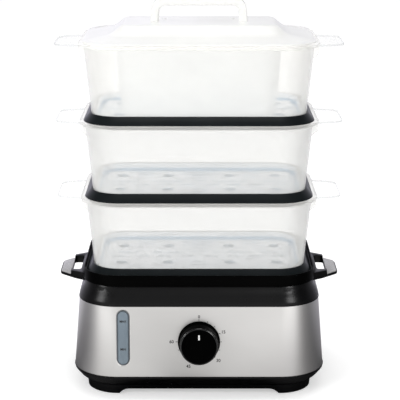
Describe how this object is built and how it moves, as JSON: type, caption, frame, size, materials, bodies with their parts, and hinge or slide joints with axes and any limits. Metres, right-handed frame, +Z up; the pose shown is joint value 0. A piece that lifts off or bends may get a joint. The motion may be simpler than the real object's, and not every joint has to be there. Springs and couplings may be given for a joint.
{
  "type": "electric food steamer",
  "caption": "Stacked food steamer: steel-wrapped water base with timer knob and level gauge, drip tray, clear baskets, rice bowl and lid",
  "frame": {"origin": "on the floor, under the middle of the whole footprint with the knob", "axes": "+Z up, front with knob and gauge towards -Y, +X to the right seen from the front"},
  "size_m": [0.3, 0.2107, 0.4102],
  "materials": {
    "jacket_steel": "fine horizontal brushing",
    "inlay_steel": "fine brushing",
    "housing_black": "glossy moulded polypropylene",
    "tier_black": "glossy moulded polypropylene",
    "knob_black": "satin moulded",
    "foot_rubber": "matt",
    "screw_steel": "zinc plated",
    "gauge_clear": "clear, with the tank's tint behind it",
    "seal_grey": "silicone",
    "timer_grey": "glass filled",
    "bell_steel": "pressed sheet",
    "heater_steel": "pressed stainless sheet",
    "rod_aluminium": "extruded cladding",
    "thermostat_brown": "phenolic moulding",
    "fuse_white": "glazed sleeve",
    "terminal_white": "nylon",
    "lead_sleeve": "silicone sleeve",
    "pointer_white": "white inlay",
    "turbo_white": "white polypropylene",
    "basket_clear": "clear, slightly hazy",
    "floor_blue": "clear, tinted blue",
    "bowl_white": "translucent white",
    "lid_white": "translucent white"
  },
  "bodies": {
    "base": {"steel_wrap": "jacket_steel", "front_shell": "housing_black", "inner_shell": "housing_black", "top_housing": "housing_black", "water_tank": "housing_black", "handle_inlay_left": "inlay_steel", "handle_inlay_right": "inlay_steel", "bottom_cover": "housing_black", "foot_pads": "foot_rubber", "cover_screws": "screw_steel", "gauge_window": "gauge_clear", "gauge_gasket": "seal_grey", "knob_bezel": "knob_black", "timer_case": "timer_grey", "timer_bell": "bell_steel", "timer_screws": "screw_steel", "heater_plate": "heater_steel", "heater_element": "rod_aluminium", "heater_seal": "seal_grey", "heater_clamp": "screw_steel", "heater_screws": "screw_steel", "thermostat": "thermostat_brown", "thermal_fuse": "fuse_white", "terminal_block": "terminal_white", "wiring": "lead_sleeve", "cord_gland": "housing_black"},
    "timer_knob": {"knob": "knob_black", "knob_pointer": "pointer_white", "timer_shaft": "screw_steel"},
    "turbo": {"turbo_ring": "turbo_white"},
    "tray": {"drip_tray": "tier_black"},
    "tier_1": {"ring_1": "tier_black", "floor_1": "floor_blue", "basket_1": "basket_clear"},
    "tier_2": {"ring_2": "tier_black", "floor_2": "floor_blue", "basket_2": "basket_clear"},
    "tier_3": {"ring_3": "tier_black", "floor_3": "floor_blue", "basket_3": "basket_clear"},
    "bowl": {"rice_bowl": "bowl_white"},
    "cover": {"lid": "lid_white", "lid_handle": "lid_white"}
  },
  "joints": [
    {"name": "timer_turn", "type": "hinge", "parent": "base", "child": "timer_knob", "pos_m": [0, -0.08393, 0.0622], "axis": [0, 0.9967, -0.0809], "range_deg": [0, 270]},
    {"name": "turbo_lift", "type": "slide", "parent": "base", "child": "turbo", "axis": [0, 0, 1], "range_m": [0, 0.1]},
    {"name": "tray_lift", "type": "slide", "parent": "turbo", "child": "tray", "axis": [0, 0, 1], "range_m": [0, 0.06]},
    {"name": "tier_1_lift", "type": "slide", "parent": "tray", "child": "tier_1", "axis": [0, 0, 1], "range_m": [0, 0.06]},
    {"name": "tier_2_lift", "type": "slide", "parent": "tier_1", "child": "tier_2", "axis": [0, 0, 1], "range_m": [0, 0.06]},
    {"name": "tier_3_lift", "type": "slide", "parent": "tier_2", "child": "tier_3", "axis": [0, 0, 1], "range_m": [0, 0.06]},
    {"name": "bowl_lift", "type": "slide", "parent": "tier_3", "child": "bowl", "axis": [0, 0, 1], "range_m": [0, 0.1]},
    {"name": "lid_lift", "type": "slide", "parent": "bowl", "child": "cover", "axis": [0, 0, 1], "range_m": [0, 0.06]}
  ]
}
